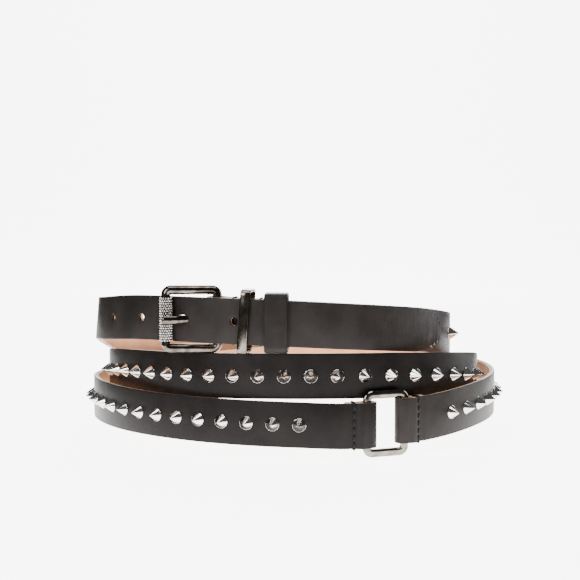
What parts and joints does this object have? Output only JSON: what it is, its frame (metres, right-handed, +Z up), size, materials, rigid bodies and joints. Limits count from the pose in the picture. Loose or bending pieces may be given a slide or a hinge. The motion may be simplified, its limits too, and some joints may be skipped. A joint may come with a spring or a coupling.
{
  "type": "studded wrap belt, coiled three turns with its pin buckle fastened",
  "caption": "Black leather wrap belt with cone studs, tan lining, pin buckle with keepers and a rectangular joining ring, laid coiled.",
  "frame": {"origin": "on the surface that the belt rests on, under the middle of its overall box", "axes": "+Z up along the waist, -Y towards the buckle side, +X towards the pointed tip"},
  "size_m": [0.265, 0.2638, 0.0963],
  "materials": {
    "black_leather": "smooth satin calf leather, fine grain, painted dark edges",
    "tan_lining": "matt natural tan lining leather",
    "stud_metal": "bright polished plated cone studs",
    "roller_metal": "bright beaded, set with rows of tiny round beads",
    "gunmetal": "dark polished gunmetal plating"
  },
  "bodies": {
    "root": {"buckle_frame": "gunmetal", "buckle_prong": "gunmetal", "buckle_roller": "roller_metal", "buckle_strap_leather": "black_leather", "buckle_strap_lining": "tan_lining", "buckle_strap_stud_01": "stud_metal", "buckle_strap_stud_02": "stud_metal", "buckle_strap_stud_03": "stud_metal", "buckle_strap_stud_04": "stud_metal", "buckle_strap_stud_05": "stud_metal", "buckle_strap_stud_06": "stud_metal", "buckle_strap_stud_07": "stud_metal", "buckle_strap_stud_08": "stud_metal", "buckle_strap_stud_09": "stud_metal", "buckle_strap_stud_10": "stud_metal", "buckle_strap_stud_11": "stud_metal", "buckle_strap_stud_12": "stud_metal", "buckle_strap_stud_13": "stud_metal", "buckle_strap_stud_14": "stud_metal", "buckle_strap_stud_15": "stud_metal", "buckle_strap_stud_16": "stud_metal", "buckle_strap_stud_17": "stud_metal", "buckle_strap_stud_18": "stud_metal", "buckle_strap_stud_19": "stud_metal", "buckle_strap_stud_20": "stud_metal", "buckle_strap_stud_21": "stud_metal", "buckle_strap_stud_22": "stud_metal", "buckle_strap_stud_23": "stud_metal", "buckle_strap_stud_24": "stud_metal", "buckle_strap_stud_25": "stud_metal", "buckle_strap_stud_26": "stud_metal", "buckle_strap_stud_27": "stud_metal", "buckle_strap_stud_28": "stud_metal", "buckle_strap_stud_29": "stud_metal", "buckle_strap_stud_30": "stud_metal", "buckle_strap_stud_31": "stud_metal", "buckle_strap_stud_32": "stud_metal", "buckle_strap_stud_33": "stud_metal", "buckle_strap_stud_34": "stud_metal", "buckle_strap_stud_35": "stud_metal", "buckle_strap_stud_36": "stud_metal", "buckle_strap_stud_37": "stud_metal", "buckle_strap_stud_38": "stud_metal", "buckle_strap_stud_39": "stud_metal", "joining_ring": "gunmetal", "leather_keeper": "black_leather", "metal_keeper": "gunmetal", "tip_strap_leather": "black_leather", "tip_strap_lining": "tan_lining", "tip_strap_stud_01": "stud_metal", "tip_strap_stud_02": "stud_metal", "tip_strap_stud_03": "stud_metal", "tip_strap_stud_04": "stud_metal", "tip_strap_stud_05": "stud_metal", "tip_strap_stud_06": "stud_metal", "tip_strap_stud_07": "stud_metal"}
  },
  "joints": []
}
